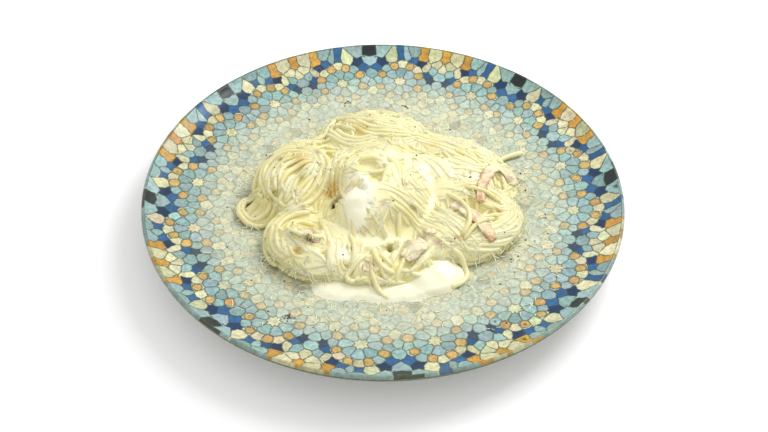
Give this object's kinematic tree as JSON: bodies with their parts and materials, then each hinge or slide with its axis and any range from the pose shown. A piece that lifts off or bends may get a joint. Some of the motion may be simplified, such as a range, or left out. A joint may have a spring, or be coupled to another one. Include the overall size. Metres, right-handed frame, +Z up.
{
  "type": "spaghetti carbonara on a plate",
  "caption": "Heap of spaghetti carbonara with cream sauce, bacon and ham, served in the well of a wide shallow round plate with a star mosaic border.",
  "frame": {"origin": "centre of the plate's foot ring, on the table under the plate", "axes": "+Z up along the plate's turning axis; -Y towards the diner and the sauce pool at the front of the heap; +X to the right"},
  "size_m": [0.28, 0.28, 0.0422],
  "materials": {
    "glazed_plate": "glossy pale glaze over a printed star mosaic in blue, cream, ochre and dark outlines",
    "pasta": "cooked spaghetti coated with a creamy egg sauce, slightly glossy",
    "cream_sauce": "thick ivory cream sauce, moist",
    "bacon": "cooked pink bacon, moist",
    "ham": "pale greyish pink cooked ham, moist"
  },
  "bodies": {
    "root": {"plate": "glazed_plate", "spaghetti": "pasta", "sauce_pool": "cream_sauce", "cream_dollop": "cream_sauce", "bacon_curl": "bacon", "bacon_strip": "bacon", "bacon_left": "bacon", "bacon_bit": "bacon", "ham_slice": "ham", "ham_bit": "ham"}
  },
  "joints": []
}
